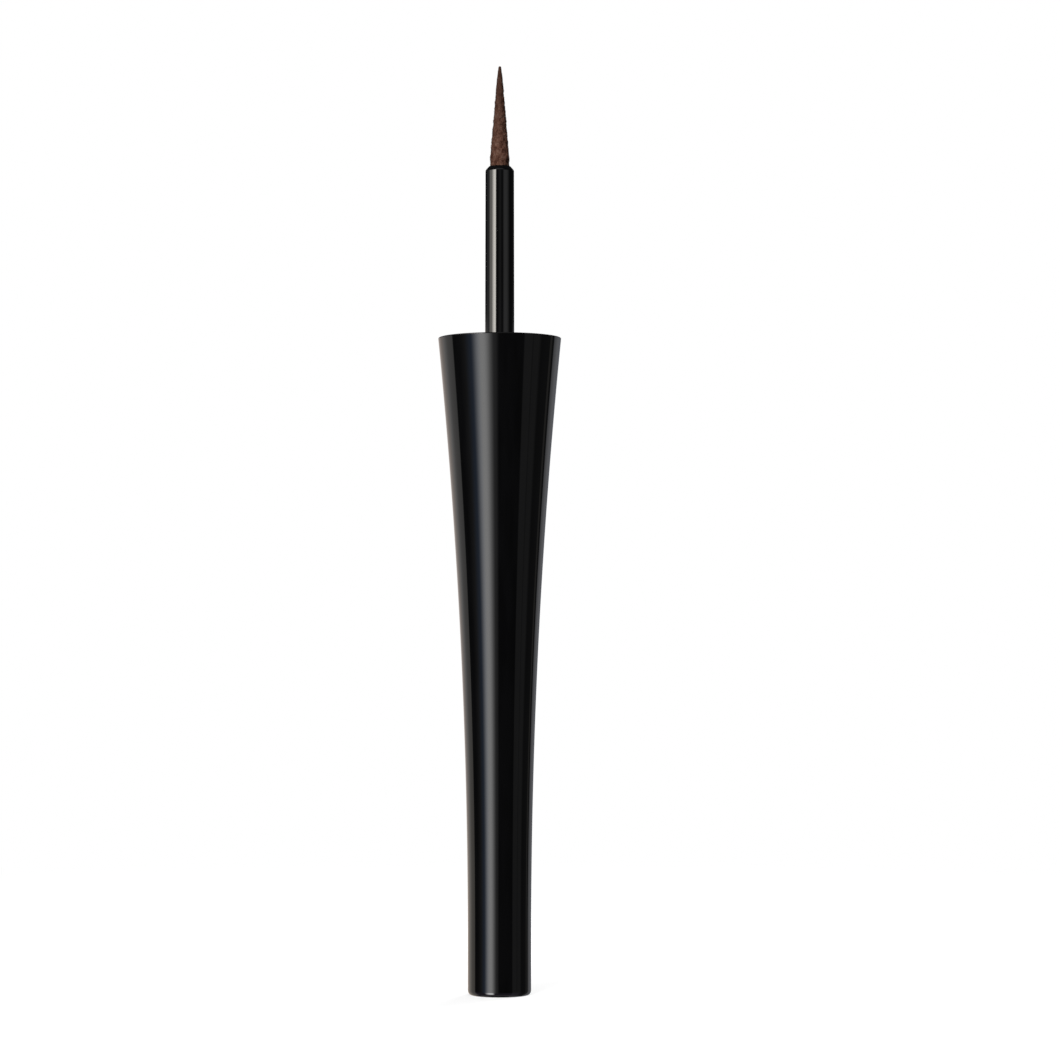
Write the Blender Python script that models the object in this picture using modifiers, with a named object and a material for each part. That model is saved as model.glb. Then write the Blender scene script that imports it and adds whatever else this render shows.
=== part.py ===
"""Liquid eyeliner applicator: a flared cap that is also the handle, with its dip wand.

Lengths are in metres. The axis of every piece is Z. The cap stands on its flat closed end,
at z = 0, and the point of the tip is at the top.
"""

import math

import bmesh
import bpy
from mathutils import Matrix

# Gaps between pieces, and helpers for cutting and merging
PRESS_GAP = 0.00010
SEAT_GAP = 0.00010
LOOSE_GAP = 0.00020
UNION_DEPTH = 0.00025
MERGE_DISTANCE = 0.000001

# Cap shell: outside
HANDLE_LENGTH = 0.07540
RIM_DIAMETER = 0.01420
GRIP_DIAMETER = 0.00726
GRIP_LENGTH = 0.00580
BASE_EDGE_RADIUS = 0.00035
RIM_EDGE_RADIUS = 0.00012

# Cap shell: inside
SHELL_WALL = 0.00100
SHELL_FLOOR = 0.00160
SOCKET_WALL = 0.00070
RIM_LAND = 0.00105
RIM_LEAD_IN = 0.00015
RIB_COUNT = 4
RIB_THICKNESS = 0.00070
RIB_START = 0.01800
RIB_LEAD = 0.00150

# Threaded insert
INSERT_RECESS = 0.00080
INSERT_FLANGE_THICKNESS = 0.00070
INSERT_WALL = 0.00060
INSERT_EDGE = 0.00025
SOCKET_DEPTH = 0.01020
PLATE_THICKNESS = 0.00140
TAIL_LENGTH = 0.01200
TAIL_WALL = 0.00090
TAIL_FLOOR = 0.00100
SPLINE_COUNT = 12
SPLINE_HEIGHT = 0.00015
SPLINE_WIDTH = 0.00050
SPLINE_MARGIN = 0.00080
THREAD_DEPTH = 0.00045
THREAD_ROOT_WIDTH = 0.00120
THREAD_CREST_WIDTH = 0.00050
THREAD_PITCH = 0.00200
THREAD_TURNS = 2.25
THREAD_LEAD_IN = 0.00120
THREAD_FADE_TURNS = 0.17
THREAD_END_SHARE = 0.3

# Neck seal
SEAL_THICKNESS = 0.00080
SEAL_EDGE = 0.00015

# Stem
STEM_REACH = 0.01990
STEM_MOUTH_WALL = 0.00045
STEM_DRAFT = 0.00005
STEM_ROOT_FILLET = 0.00030
STEM_FLANGE_THICKNESS = 0.00090
STEM_FLANGE_EDGE = 0.00015
SPIGOT_DIAMETER = 0.00240
SPIGOT_POINT = 0.00040
BARB_COUNT = 3
BARB_HEIGHT = 0.00010
BARB_LENGTH_SHARE = 0.5

# Tip core
CORE_DIAMETER = 0.00090
CORE_POINT_DIAMETER = 0.00030
CORE_SHANK_LENGTH = 0.00550
CORE_COVER = 0.00420

# Flocked tip
TIP_LENGTH = 0.01170
TIP_ROOT_DIAMETER = 0.00220
TIP_ROOT_LENGTH = 0.00130
TIP_SEAT_DEPTH = 0.00100
TIP_POINT_RADIUS = 0.00017

# Handle weight
WEIGHT_EDGE = 0.00040

# How finely the round surfaces are faceted
SHELL_STEPS = 64
INSERT_STEPS = 48
STEM_STEPS = 32
TIP_STEPS = 32
FLARE_SEGMENTS = 16
BORE_SEGMENTS = 8
EDGE_SEGMENTS = 4
THREAD_POINTS_PER_TURN = 32
SMOOTH_ANGLE = math.radians(30)

# Radii of the shell
RIM_RADIUS = RIM_DIAMETER / 2
GRIP_RADIUS = GRIP_DIAMETER / 2
BORE_RADIUS = GRIP_RADIUS - SHELL_WALL

# The flare is one arc, tangent to the straight grip, that ends at the rim
FLARE_HEIGHT = HANDLE_LENGTH - GRIP_LENGTH
FLARE_GROWTH = RIM_RADIUS - GRIP_RADIUS
FLARE_RADIUS = (FLARE_HEIGHT ** 2 + FLARE_GROWTH ** 2) / (2 * FLARE_GROWTH)

# Heights that the insert, the seal and the stem share, from the rim down
INSERT_TOP = HANDLE_LENGTH - INSERT_RECESS
FLANGE_SEAT = INSERT_TOP - INSERT_FLANGE_THICKNESS - SEAT_GAP
PLATE_TOP = INSERT_TOP - SOCKET_DEPTH
PLATE_BOTTOM = PLATE_TOP - PLATE_THICKNESS
SHELL_STEP = PLATE_BOTTOM - LOOSE_GAP
TAIL_BOTTOM = PLATE_BOTTOM - TAIL_LENGTH
STEM_FLANGE_BOTTOM = PLATE_TOP + SEAT_GAP
STEM_FLANGE_TOP = STEM_FLANGE_BOTTOM + STEM_FLANGE_THICKNESS
SEAL_BOTTOM = STEM_FLANGE_TOP + SEAT_GAP
SEAL_TOP = SEAL_BOTTOM + SEAL_THICKNESS
STEM_TOP = HANDLE_LENGTH + STEM_REACH
TIP_TOP = STEM_TOP + TIP_LENGTH


def flare_radius(z):
    """Outer radius of the shell at height z."""
    rise = max(z - GRIP_LENGTH, 0)
    return GRIP_RADIUS + FLARE_RADIUS - math.sqrt(FLARE_RADIUS ** 2 - rise ** 2)


# Radii that the shell's socket, the insert and what it holds share
SOCKET_RADIUS = flare_radius(SHELL_STEP) - SOCKET_WALL
COUNTERBORE_RADIUS = RIM_RADIUS - RIM_LAND
SPLINE_RADIUS = SOCKET_RADIUS - PRESS_GAP
INSERT_RADIUS = SPLINE_RADIUS - SPLINE_HEIGHT
THREAD_ROOT_RADIUS = INSERT_RADIUS - INSERT_WALL
THREAD_CREST_RADIUS = THREAD_ROOT_RADIUS - THREAD_DEPTH
SPIGOT_RADIUS = SPIGOT_DIAMETER / 2
SPIGOT_BORE = SPIGOT_RADIUS + BARB_HEIGHT + PRESS_GAP
TIP_ROOT_RADIUS = TIP_ROOT_DIAMETER / 2
TIP_SOCKET_RADIUS = TIP_ROOT_RADIUS + PRESS_GAP
STEM_MOUTH_RADIUS = TIP_SOCKET_RADIUS + STEM_MOUTH_WALL
STEM_ROOT_RADIUS = STEM_MOUTH_RADIUS + STEM_DRAFT
CORE_RADIUS = CORE_DIAMETER / 2


def clear_scene():
    """Remove every object, and the meshes, curves and materials that they used."""
    for obj in list(bpy.data.objects):
        bpy.data.objects.remove(obj, do_unlink=True)
    for store in (bpy.data.meshes, bpy.data.curves, bpy.data.materials):
        for block in list(store):
            store.remove(block)


def new_collection(name):
    """Make a collection in the scene."""
    collection = bpy.data.collections.new(name)
    bpy.context.scene.collection.children.link(collection)
    return collection


def new_material(name, colour, roughness, metallic=0.0):
    """Make a Principled BSDF material from a linear RGB colour."""
    material = bpy.data.materials.new(name)
    material.use_nodes = True
    material.diffuse_color = (*colour, 1.0)
    shader = material.node_tree.nodes["Principled BSDF"]
    shader.inputs["Base Color"].default_value = (*colour, 1.0)
    shader.inputs["Roughness"].default_value = roughness
    shader.inputs["Metallic"].default_value = metallic
    return material


def evaluated_mesh(obj):
    """Return a new mesh of the object with its modifiers or its bevel applied."""
    bpy.context.view_layer.update()
    depsgraph = bpy.context.evaluated_depsgraph_get()
    return bpy.data.meshes.new_from_object(obj.evaluated_get(depsgraph))


def arc(centre_r, centre_z, radius, start, end, segments):
    """Points of an arc in the profile plane, from one angle to another in degrees."""
    points = []
    for i in range(segments + 1):
        angle = math.radians(start + (end - start) * i / segments)
        points.append((centre_r + radius * math.cos(angle), centre_z + radius * math.sin(angle)))
    return points


def turned(name, profile, steps, collection, closed=False):
    """Turn a profile of (radius, height) points round Z with a Screw modifier."""
    mesh = bpy.data.meshes.new(name)
    edges = [(i, i + 1) for i in range(len(profile) - 1)]
    if closed:
        edges.append((len(profile) - 1, 0))
    mesh.from_pydata([(r, 0, z) for r, z in profile], edges, [])
    obj = bpy.data.objects.new(name, mesh)
    collection.objects.link(obj)
    screw = obj.modifiers.new("Turn", "SCREW")
    screw.axis = "Z"
    screw.steps = steps
    screw.render_steps = steps
    screw.use_merge_vertices = True
    screw.merge_threshold = MERGE_DISTANCE
    return obj


def curve_to_mesh(curve_obj, copies, name, collection):
    """Turn a curve object into a mesh with welded caps, and repeat it round Z."""
    mesh = evaluated_mesh(curve_obj)
    body = bmesh.new()
    for i in range(copies):
        first = len(body.verts)
        body.from_mesh(mesh)
        body.verts.ensure_lookup_table()
        turn = Matrix.Rotation(2 * math.pi * i / copies, 4, "Z")
        bmesh.ops.transform(body, matrix=turn @ curve_obj.matrix_world, verts=body.verts[first:])
    bmesh.ops.remove_doubles(body, verts=body.verts, dist=MERGE_DISTANCE)
    bmesh.ops.recalc_face_normals(body, faces=body.faces)
    body.to_mesh(mesh)
    body.free()
    obj = bpy.data.objects.new(name, mesh)
    collection.objects.link(obj)
    bpy.data.objects.remove(curve_obj, do_unlink=True)
    return obj


def flat_outline(name, points, thickness, collection):
    """Make a plate from an outline in the XZ plane, as thick along Y as stated."""
    curve = bpy.data.curves.new(name, "CURVE")
    curve.dimensions = "2D"
    curve.fill_mode = "BOTH"
    curve.extrude = thickness / 2
    spline = curve.splines.new("POLY")
    spline.points.add(len(points) - 1)
    for point, (x, y) in zip(spline.points, points):
        point.co = (x, y, 0, 1)
    spline.use_cyclic_u = True
    obj = bpy.data.objects.new(name, curve)
    obj.rotation_euler = (math.radians(90), 0, 0)
    collection.objects.link(obj)
    return obj


def join_solid(obj, other):
    """Fuse another solid into the object with a Boolean union."""
    other.hide_render = True
    other.display_type = "WIRE"
    union = obj.modifiers.new("Join " + other.name, "BOOLEAN")
    union.operation = "UNION"
    union.solver = "EXACT"
    union.object = other


def finish(obj, material):
    """Apply the modifiers, shade the round faces smooth and give the piece its material."""
    mesh = evaluated_mesh(obj)
    obj.modifiers.clear()
    obj.data = mesh
    mesh.shade_smooth()
    mesh.set_sharp_from_angle(angle=SMOOTH_ANGLE)
    mesh.materials.clear()
    mesh.materials.append(material)
    return obj


def shell_profile():
    """Section of the shell: up its inside from the floor, over the rim and down the outside."""
    points = [(0, SHELL_FLOOR), (BORE_RADIUS, SHELL_FLOOR)]
    for i in range(BORE_SEGMENTS + 1):
        z = GRIP_LENGTH + (SHELL_STEP - GRIP_LENGTH) * i / BORE_SEGMENTS
        points.append((flare_radius(z) - SHELL_WALL, z))
    points.append((SOCKET_RADIUS, SHELL_STEP))
    points.append((SOCKET_RADIUS, FLANGE_SEAT))
    points.append((COUNTERBORE_RADIUS, FLANGE_SEAT))
    points.append((COUNTERBORE_RADIUS, HANDLE_LENGTH - RIM_LEAD_IN))
    points.append((COUNTERBORE_RADIUS + RIM_LEAD_IN, HANDLE_LENGTH))

    # The rounding of the rim touches the flat rim face and the flare's arc
    arc_centre_r = GRIP_RADIUS + FLARE_RADIUS
    edge_z = HANDLE_LENGTH - RIM_EDGE_RADIUS
    edge_rise = edge_z - GRIP_LENGTH
    edge_r = arc_centre_r - math.sqrt((FLARE_RADIUS + RIM_EDGE_RADIUS) ** 2 - edge_rise ** 2)
    top_angle = math.degrees(math.atan2(edge_rise, arc_centre_r - edge_r))
    points += arc(edge_r, edge_z, RIM_EDGE_RADIUS, 90, -top_angle, EDGE_SEGMENTS)

    flare = arc(arc_centre_r, GRIP_LENGTH, FLARE_RADIUS, 180 - top_angle, 180, FLARE_SEGMENTS)
    points += flare[1:]
    centre_r = GRIP_RADIUS - BASE_EDGE_RADIUS
    points += arc(centre_r, BASE_EDGE_RADIUS, BASE_EDGE_RADIUS, 0, -90, EDGE_SEGMENTS)
    points.append((0, 0))
    return points


def weight_top():
    """Height of the weight's upper face, under the insert's tail."""
    return TAIL_BOTTOM - SEAT_GAP


def shell_ribs(collection):
    """Four ribs that carry on the narrow bore's size up the flare, to hold the weight."""
    top = weight_top() + RIB_LEAD
    back = []
    for i in range(BORE_SEGMENTS + 1):
        z = top - (top - RIB_START) * i / BORE_SEGMENTS
        back.append((flare_radius(z) - SHELL_WALL / 2, z))
    points = [(BORE_RADIUS, RIB_START), (BORE_RADIUS, top)] + back
    plate = flat_outline("shell_rib", points, RIB_THICKNESS, collection)
    return curve_to_mesh(plate, RIB_COUNT, "shell_ribs", collection)


def make_shell(parts, guides):
    """The flared outer shell of the cap, with its ribs."""
    shell = turned("cap_shell", shell_profile(), SHELL_STEPS, parts)
    join_solid(shell, shell_ribs(guides))
    return finish(shell, new_material("gloss_black_shell", (0.004, 0.004, 0.005), 0.08))


def insert_profile():
    """Section of the threaded insert: up its inside from the tail's floor and down the outside."""
    tail_radius = SPIGOT_BORE + TAIL_WALL
    flange_radius = COUNTERBORE_RADIUS - PRESS_GAP
    flange_bottom = INSERT_TOP - INSERT_FLANGE_THICKNESS
    return [
        (0, TAIL_BOTTOM + TAIL_FLOOR),
        (SPIGOT_BORE, TAIL_BOTTOM + TAIL_FLOOR),
        (SPIGOT_BORE, PLATE_TOP),
        (THREAD_ROOT_RADIUS, PLATE_TOP),
        (THREAD_ROOT_RADIUS, INSERT_TOP - INSERT_EDGE),
        (THREAD_ROOT_RADIUS + INSERT_EDGE, INSERT_TOP),
        (flange_radius - INSERT_EDGE / 2, INSERT_TOP),
        (flange_radius, INSERT_TOP - INSERT_EDGE / 2),
        (flange_radius, flange_bottom),
        (INSERT_RADIUS, flange_bottom),
        (INSERT_RADIUS, PLATE_BOTTOM + INSERT_EDGE),
        (INSERT_RADIUS - INSERT_EDGE, PLATE_BOTTOM),
        (tail_radius, PLATE_BOTTOM),
        (tail_radius, TAIL_BOTTOM + INSERT_EDGE),
        (tail_radius - INSERT_EDGE, TAIL_BOTTOM),
        (0, TAIL_BOTTOM),
    ]


def thread_section(guides):
    """Section of the thread: X points out into the wall and Y points up the axis."""
    root = THREAD_ROOT_WIDTH / 2
    crest = THREAD_CREST_WIDTH / 2
    reach = UNION_DEPTH + THREAD_DEPTH
    curve = bpy.data.curves.new("thread_section", "CURVE")
    curve.dimensions = "2D"
    spline = curve.splines.new("POLY")
    points = [(0, -root), (0, root), (-reach, crest), (-reach, -crest)]
    spline.points.add(len(points) - 1)
    for point, (x, y) in zip(spline.points, points):
        point.co = (x, y, 0, 1)
    spline.use_cyclic_u = True
    obj = bpy.data.objects.new("thread_section", curve)
    guides.objects.link(obj)
    return obj


def insert_thread(guides):
    """The inner thread: a section swept along a helix, which shrinks into the wall at its ends."""
    section = thread_section(guides)
    curve = bpy.data.curves.new("insert_thread_path", "CURVE")
    curve.dimensions = "3D"
    curve.twist_mode = "Z_UP"
    curve.bevel_mode = "OBJECT"
    curve.bevel_object = section
    curve.use_fill_caps = True
    count = round(THREAD_TURNS * THREAD_POINTS_PER_TURN)
    radius = THREAD_ROOT_RADIUS + UNION_DEPTH
    top = INSERT_TOP - THREAD_LEAD_IN - THREAD_ROOT_WIDTH / 2
    spline = curve.splines.new("POLY")
    spline.points.add(count)
    for i, point in enumerate(spline.points):
        turn = THREAD_TURNS * i / count
        angle = 2 * math.pi * turn
        drop = THREAD_PITCH * (THREAD_TURNS - turn)
        point.co = (radius * math.cos(angle), radius * math.sin(angle), top - drop, 1)
        growth = min(turn, THREAD_TURNS - turn, THREAD_FADE_TURNS) / THREAD_FADE_TURNS
        point.radius = THREAD_END_SHARE + (1 - THREAD_END_SHARE) * growth
    path = bpy.data.objects.new("insert_thread_path", curve)
    guides.objects.link(path)
    thread = curve_to_mesh(path, 1, "insert_thread", guides)
    bpy.data.objects.remove(section, do_unlink=True)
    return thread


def insert_splines(guides):
    """Splines on the insert's wall that keep it from turning in the shell."""
    low = PLATE_BOTTOM + SPLINE_MARGIN
    high = INSERT_TOP - INSERT_FLANGE_THICKNESS - SPLINE_MARGIN
    inner = INSERT_RADIUS - INSERT_WALL / 2
    size = Matrix.Diagonal((SPLINE_RADIUS - inner, SPLINE_WIDTH, high - low, 1))
    place = Matrix.Translation(((SPLINE_RADIUS + inner) / 2, 0, (high + low) / 2))
    body = bmesh.new()
    for i in range(SPLINE_COUNT):
        turn = Matrix.Rotation(2 * math.pi * i / SPLINE_COUNT, 4, "Z")
        bmesh.ops.create_cube(body, size=1, matrix=turn @ place @ size)
    mesh = bpy.data.meshes.new("insert_splines")
    body.to_mesh(mesh)
    body.free()
    obj = bpy.data.objects.new("insert_splines", mesh)
    guides.objects.link(obj)
    return obj


def make_insert(parts, guides):
    """The inner cap: threaded socket for the bottle's neck, and a tail that holds the stem."""
    insert = turned("thread_insert", insert_profile(), INSERT_STEPS, parts)
    join_solid(insert, insert_thread(guides))
    join_solid(insert, insert_splines(guides))
    return finish(insert, new_material("matt_black_insert", (0.012, 0.012, 0.013), 0.45))


def make_seal(parts):
    """The soft washer under the thread, which the bottle's neck presses on."""
    outer = THREAD_ROOT_RADIUS - LOOSE_GAP
    inner = STEM_ROOT_RADIUS + LOOSE_GAP
    profile = [
        (inner + SEAL_EDGE, SEAL_TOP),
        (outer - SEAL_EDGE, SEAL_TOP),
        (outer, SEAL_TOP - SEAL_EDGE),
        (outer, SEAL_BOTTOM + SEAL_EDGE),
        (outer - SEAL_EDGE, SEAL_BOTTOM),
        (inner + SEAL_EDGE, SEAL_BOTTOM),
        (inner, SEAL_BOTTOM + SEAL_EDGE),
        (inner, SEAL_TOP - SEAL_EDGE),
    ]
    seal = turned("neck_seal", profile, INSERT_STEPS, parts, closed=True)
    return finish(seal, new_material("grey_seal", (0.10, 0.10, 0.11), 0.70))


def stem_profile():
    """Section of the stem: up the socket for the tip, round the mouth and down the outside."""
    shank_bore = CORE_RADIUS + PRESS_GAP
    seat = STEM_TOP - TIP_SEAT_DEPTH - SEAT_GAP
    shank_floor = seat - CORE_SHANK_LENGTH - SEAT_GAP
    flange_radius = THREAD_CREST_RADIUS - LOOSE_GAP
    round_z = STEM_TOP - STEM_MOUTH_WALL
    points = [
        (0, shank_floor),
        (shank_bore, shank_floor),
        (shank_bore, seat),
        (TIP_SOCKET_RADIUS, seat),
    ]
    points += arc(TIP_SOCKET_RADIUS, round_z, STEM_MOUTH_WALL, 90, 0, EDGE_SEGMENTS)
    fillet_r = STEM_ROOT_RADIUS + STEM_ROOT_FILLET
    fillet_z = STEM_FLANGE_TOP + STEM_ROOT_FILLET
    points += arc(fillet_r, fillet_z, STEM_ROOT_FILLET, 180, 270, EDGE_SEGMENTS)
    points += [
        (flange_radius - STEM_FLANGE_EDGE, STEM_FLANGE_TOP),
        (flange_radius, STEM_FLANGE_TOP - STEM_FLANGE_EDGE),
        (flange_radius, STEM_FLANGE_BOTTOM),
        (SPIGOT_RADIUS, STEM_FLANGE_BOTTOM),
    ]
    spigot_bottom = TAIL_BOTTOM + TAIL_FLOOR + SEAT_GAP
    barb_pitch = (PLATE_BOTTOM - spigot_bottom) / (BARB_COUNT + 1)
    for i in range(BARB_COUNT):
        shoulder = PLATE_BOTTOM - barb_pitch * i
        points.append((SPIGOT_RADIUS, shoulder))
        points.append((SPIGOT_RADIUS + BARB_HEIGHT, shoulder))
        points.append((SPIGOT_RADIUS, shoulder - barb_pitch * BARB_LENGTH_SHARE))
    points += [
        (SPIGOT_RADIUS, spigot_bottom + SPIGOT_POINT),
        (SPIGOT_RADIUS - SPIGOT_POINT, spigot_bottom),
        (0, spigot_bottom),
    ]
    return points


def make_stem(parts):
    """The rod that dips into the bottle: flange and barbed root below, tip socket above."""
    stem = turned("stem", stem_profile(), STEM_STEPS, parts)
    return finish(stem, new_material("gloss_black_stem", (0.005, 0.005, 0.006), 0.10))


def tip_radius(z):
    """Outer radius of the flocked tip's cone at height z."""
    cone_bottom = STEM_TOP + TIP_ROOT_LENGTH
    share = (z - cone_bottom) / (TIP_TOP - TIP_POINT_RADIUS - cone_bottom)
    return TIP_ROOT_RADIUS + (TIP_POINT_RADIUS - TIP_ROOT_RADIUS) * share


def core_top():
    """Height of the core's rounded end, which the flocked cover hides."""
    return TIP_TOP - CORE_COVER


def make_core(parts):
    """The elastic pin that carries the flock: a shank in the stem and a taper in the cover."""
    root = STEM_TOP
    bottom = STEM_TOP - TIP_SEAT_DEPTH - SEAT_GAP - CORE_SHANK_LENGTH
    point = CORE_POINT_DIAMETER / 2
    profile = arc(0, core_top() - point, point, 90, 0, EDGE_SEGMENTS)
    profile += [
        (CORE_RADIUS, root),
        (CORE_RADIUS, bottom + point),
        (CORE_RADIUS - point, bottom),
        (0, bottom),
    ]
    core = turned("tip_core", profile, TIP_STEPS, parts)
    return finish(core, new_material("brown_elastomer", (0.030, 0.018, 0.014), 0.60))


def make_tip(parts):
    """The flocked cover: a short straight root, a long cone, and a bore for the core."""
    bottom = STEM_TOP - TIP_SEAT_DEPTH
    shoulder = STEM_TOP + TIP_ROOT_LENGTH
    bore_root = CORE_RADIUS + PRESS_GAP
    bore_point = CORE_POINT_DIAMETER / 2 + PRESS_GAP
    profile = arc(0, TIP_TOP - TIP_POINT_RADIUS, TIP_POINT_RADIUS, 90, 0, EDGE_SEGMENTS)
    profile += [
        (TIP_ROOT_RADIUS, shoulder),
        (TIP_ROOT_RADIUS, bottom),
        (bore_root, bottom),
        (bore_root, STEM_TOP),
        (bore_point, core_top()),
        (0, core_top() + bore_point),
    ]
    tip = turned("flocked_tip", profile, TIP_STEPS, parts)
    return finish(tip, new_material("brown_flock", (0.110, 0.060, 0.042), 0.95))


def make_weight(parts):
    """The steel slug in the narrow end, held by the bore, the ribs and the insert's tail."""
    radius = BORE_RADIUS - PRESS_GAP
    bottom = SHELL_FLOOR + SEAT_GAP
    top = weight_top()
    profile = [
        (0, top),
        (radius - WEIGHT_EDGE, top),
        (radius, top - WEIGHT_EDGE),
        (radius, bottom + WEIGHT_EDGE),
        (radius - WEIGHT_EDGE, bottom),
        (0, bottom),
    ]
    weight = turned("handle_weight", profile, INSERT_STEPS, parts)
    return finish(weight, new_material("bright_steel", (0.45, 0.45, 0.46), 0.35, 1.0))


def main():
    """Build the applicator from the cap's closed end to the point of the tip."""
    clear_scene()
    parts = new_collection("liquid_eyeliner_applicator")
    guides = new_collection("guides")
    make_shell(parts, guides)
    make_insert(parts, guides)
    make_seal(parts)
    make_stem(parts)
    make_core(parts)
    make_tip(parts)
    make_weight(parts)


main()
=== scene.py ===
"""Looks of a liquid eyeliner applicator.

The glossy black cap is also the handle. It stands upside down on its closed end, with its black
dip stem and its brown flocked point above it. Lengths are in metres and angles in degrees, in
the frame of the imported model: +Z runs from the cap's closed end to the point.
"""

from __future__ import annotations

import logging
import math
from abc import ABC, abstractmethod
from dataclasses import dataclass
from enum import Enum
from typing import Any, Sequence

import bpy
import numpy as np
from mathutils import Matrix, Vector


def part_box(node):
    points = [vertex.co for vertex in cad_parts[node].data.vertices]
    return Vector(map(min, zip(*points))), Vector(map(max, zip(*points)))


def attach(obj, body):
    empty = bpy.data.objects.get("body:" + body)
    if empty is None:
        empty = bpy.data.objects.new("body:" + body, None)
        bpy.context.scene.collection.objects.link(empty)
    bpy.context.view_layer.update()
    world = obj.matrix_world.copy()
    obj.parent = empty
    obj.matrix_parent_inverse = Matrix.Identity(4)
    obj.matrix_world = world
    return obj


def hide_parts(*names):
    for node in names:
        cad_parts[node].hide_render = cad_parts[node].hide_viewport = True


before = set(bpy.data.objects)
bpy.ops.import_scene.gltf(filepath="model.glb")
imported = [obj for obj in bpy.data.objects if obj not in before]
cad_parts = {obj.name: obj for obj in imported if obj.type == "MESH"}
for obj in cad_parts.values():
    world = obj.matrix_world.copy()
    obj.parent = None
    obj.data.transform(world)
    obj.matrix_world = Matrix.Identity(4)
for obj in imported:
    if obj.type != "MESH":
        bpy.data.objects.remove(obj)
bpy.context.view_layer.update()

Array = np.ndarray
Colour = tuple[float, float, float]
Range = tuple[float, float]
# One length, or an array of them
Measure = float | Array
Socket = bpy.types.NodeSocket
# What a node's input takes
Feed = float | tuple[float, ...] | Socket

BODY = "root"

# Lengths under this count as none, when a point is tested against a radius or the axis
TINY = 1e-9
# The longest step along a rounding, where a piece has none of its own
ROUNDING_STEP = 0.00003
# Steps of the straight stretch between two roundings, and the fewest steps of a rounding
STRAIGHT_STEPS = 6
LEAST_ARC_STEPS = 3
# Roundings of moulded edges, from the sharpest to the softest
KEEN_EDGE = 0.00002
FINE_EDGE = 0.00004
CRISP_EDGE = 0.00005
LIGHT_EDGE = 0.00006
PLAIN_EDGE = 0.00008
SOFT_EDGE = 0.00010

log = logging.getLogger("eyeliner_applicator")


class Slot(Enum):
    """The record's material slots of the pieces that are shaped anew here."""

    SHELL = "shell_plastic"
    INSERT = "insert_plastic"
    SEAL = "seal_rubber"
    STEM = "stem_plastic"
    TIP = "tip_flock"


# Meshes from whole arrays


def add_object(name: str, data: bpy.types.ID) -> bpy.types.Object:
    """Make an object and link it to the scene.

    Args:
        name: the object's name.
        data: its mesh, lamp or camera.

    Returns:
        The new object, at the origin.
    """
    obj = bpy.data.objects.new(name, data)
    bpy.context.scene.collection.objects.link(obj)
    return obj


@dataclass
class MeshData:
    """Points and faces of one surface, as whole arrays.

    Args:
        points: one row of x, y and z for each point.
        faces: arrays of point numbers, one row for each face, with one row length an array.
    """

    points: Array
    faces: list[Array]

    def to_object(self, name: str) -> bpy.types.Object:
        """Put the arrays into a smooth-shaded mesh object.

        Args:
            name: the object's name.

        Returns:
            The new object, as add_object makes it.
        """
        mesh = bpy.data.meshes.new(name)
        corners = np.concatenate([rows.ravel() for rows in self.faces])
        sizes = np.concatenate([np.full(len(rows), rows.shape[1]) for rows in self.faces])
        starts = np.concatenate([[0], np.cumsum(sizes)[:-1]])
        mesh.vertices.add(len(self.points))
        mesh.vertices.foreach_set("co", np.ascontiguousarray(self.points, np.float32).ravel())
        mesh.loops.add(len(corners))
        mesh.loops.foreach_set("vertex_index", corners.astype(np.int32))
        mesh.polygons.add(len(sizes))
        mesh.polygons.foreach_set("loop_start", starts.astype(np.int32))
        mesh.update(calc_edges=True)
        mesh.validate()
        mesh.shade_smooth()
        return add_object(name, mesh)


def arc(centre: tuple[float, float], radius: float, start: float, end: float, count: int) -> Array:
    """Points of an arc in the section plane.

    Args:
        centre: radius and height of the arc's centre.
        radius: the arc's radius.
        start: first angle in degrees, from the outward direction.
        end: last angle in degrees.
        count: number of steps.

    Returns:
        Rows of (radius, height).
    """
    angle = np.radians(np.linspace(start, end, count + 1))
    return np.column_stack([centre[0] + radius * np.cos(angle), centre[1] + radius * np.sin(angle)])


def eased(start: float, end: float, count: int) -> Array:
    """Values from start to end in count steps, which shrink towards both ends as a cosine does."""
    return start + (end - start) * (1 - np.cos(np.linspace(0, np.pi, count + 1))) / 2


def stretch(first: Sequence[float], last: Sequence[float], count: int) -> Array:
    """Points of a straight stretch of a section, closer together towards its ends.

    Args:
        first: radius and height of its first point.
        last: radius and height of its last point.
        count: number of steps.

    Returns:
        Rows of (radius, height).
    """
    return np.column_stack([eased(a, b, count) for a, b in zip(first, last)])


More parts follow.
